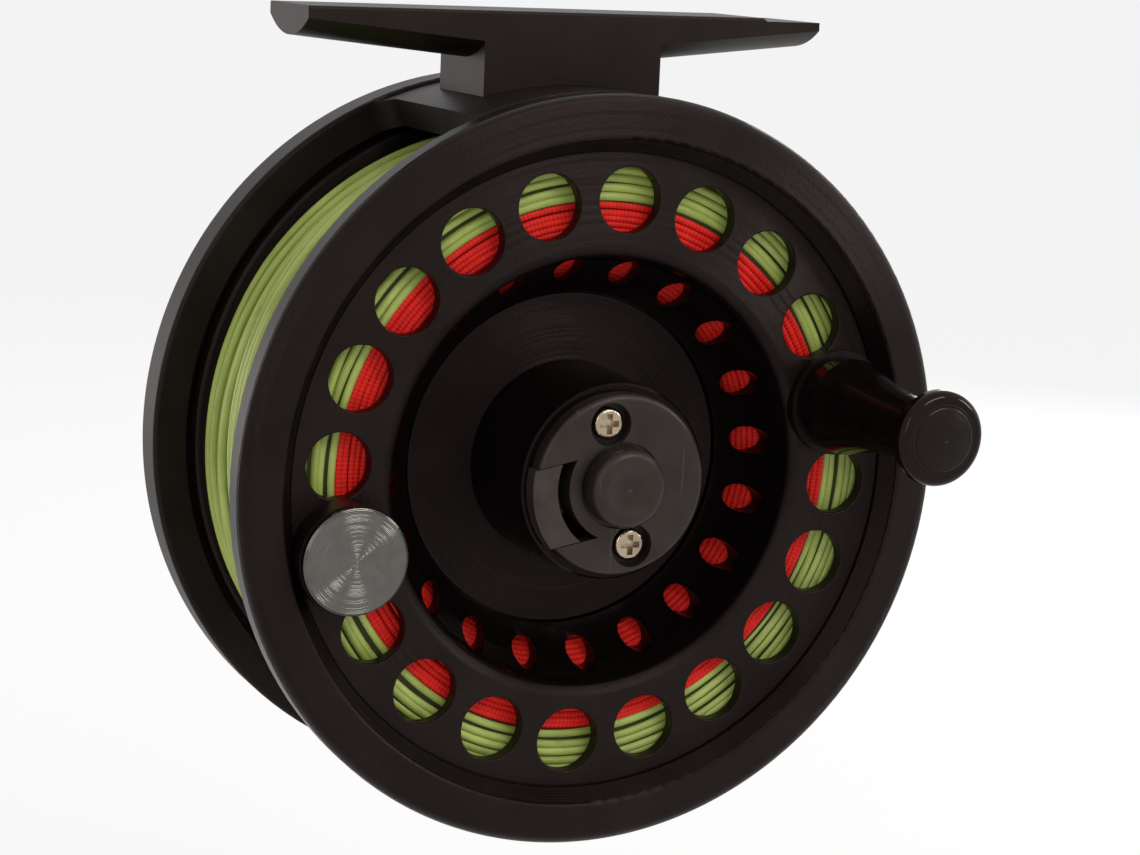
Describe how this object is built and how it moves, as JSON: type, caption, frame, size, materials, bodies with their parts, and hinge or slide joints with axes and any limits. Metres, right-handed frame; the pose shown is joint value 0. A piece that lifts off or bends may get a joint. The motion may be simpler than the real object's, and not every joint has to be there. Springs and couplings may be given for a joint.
{
  "type": "fly fishing reel",
  "caption": "Black fly reel with a full cage bridge, pierced large-arbor spool, handle, counterweight, rear disc drag and wound green line.",
  "frame": {"origin": "middle of the foot's flat top, where the reel seats on the rod", "axes": "+Z out of the foot's top towards the rod, +Y back along the spool's axis away from the handle, +X to the right as the spool's face is seen"},
  "size_m": [0.0864, 0.0653, 0.0941],
  "materials": {
    "frame_black": "matte, hard anodised",
    "spool_black": "matte face with gloss black bowl",
    "gloss_black": "gloss black",
    "cap_black": "satin anodised",
    "bright_steel": "polished",
    "ground_steel": "ground",
    "bronze": "turned bronze",
    "brass": "turned",
    "carbon": "matte woven carbon",
    "acetal": "matte acetal",
    "line_green": "satin coated line",
    "backing_red": "braided"
  },
  "bodies": {
    "frame": {"frame": "frame_black", "reel_foot": "frame_black", "foot_screws": "ground_steel", "spindle": "ground_steel", "spindle_screws": "ground_steel", "drag_cover": "gloss_black", "drag_discs": "carbon", "pressure_plate": "ground_steel", "knob_screw": "ground_steel", "pawl_pin": "ground_steel", "pawl_spring": "ground_steel"},
    "spool": {"spool": "spool_black", "front_bush": "bronze", "rear_bush": "bronze", "one_way_bearing": "ground_steel", "click_ring": "ground_steel", "hub_cap": "cap_black", "hub_cap_screws": "bright_steel", "spindle_cap": "cap_black", "latch_spring": "ground_steel", "counterweight": "bright_steel", "counterweight_screw": "ground_steel", "handle_pin": "ground_steel", "handle_washer": "acetal", "backing": "backing_red", "fly_line": "line_green"},
    "handle": {"handle_knob": "gloss_black", "handle_end_cap": "gloss_black"},
    "latch": {"release_latch": "cap_black"},
    "rotor": {"drag_rotor": "ground_steel"},
    "drag_adjuster": {"drag_knob": "gloss_black"},
    "drag_pusher": {"drag_nut": "brass", "push_pins": "ground_steel", "drag_spring": "ground_steel"},
    "pawl": {"click_pawl": "acetal"}
  },
  "joints": [
    {"name": "spool_spin", "type": "hinge", "parent": "frame", "child": "spool", "pos_m": [0, -0.0197, -0.0509], "axis": [0, 1, 0], "continuous": true},
    {"name": "rotor_spin", "type": "hinge", "parent": "frame", "child": "rotor", "pos_m": [0, -0.0197, -0.0509], "axis": [0, 1, 0], "continuous": true},
    {"name": "handle_spin", "type": "hinge", "parent": "spool", "child": "handle", "pos_m": [0.03019, -0.0197, -0.04365], "axis": [0, 1, 0], "continuous": true},
    {"name": "latch_slide", "type": "slide", "parent": "spool", "child": "latch", "axis": [0.9826, 0, 0.1857], "range_m": [0, 0.001], "stiffness_N_per_m": 800, "springref_m": -0.001, "deforming": ["latch_spring"]},
    {"name": "drag_knob_turn", "type": "hinge", "parent": "frame", "child": "drag_adjuster", "pos_m": [0, -0.0197, -0.0509], "axis": [0, -1, 0], "range_deg": [0, 300]},
    {"name": "drag_nut_slide", "type": "slide", "parent": "frame", "child": "drag_pusher", "axis": [0, -1, 0], "range_m": [0, 0.00045]},
    {"name": "pawl_swing", "type": "hinge", "parent": "frame", "child": "pawl", "pos_m": [-0.01128, -0.0197, -0.03962], "axis": [0, 1, 0], "range_deg": [-20, 20], "stiffness_Nm_per_rad": 0.001}
  ],
  "couplings": [
    {"joint": "rotor_spin", "follows": "spool_spin", "ratio": 1},
    {"joint": "drag_knob_turn", "follows": "drag_nut_slide", "rad_per_m": 11636}
  ]
}
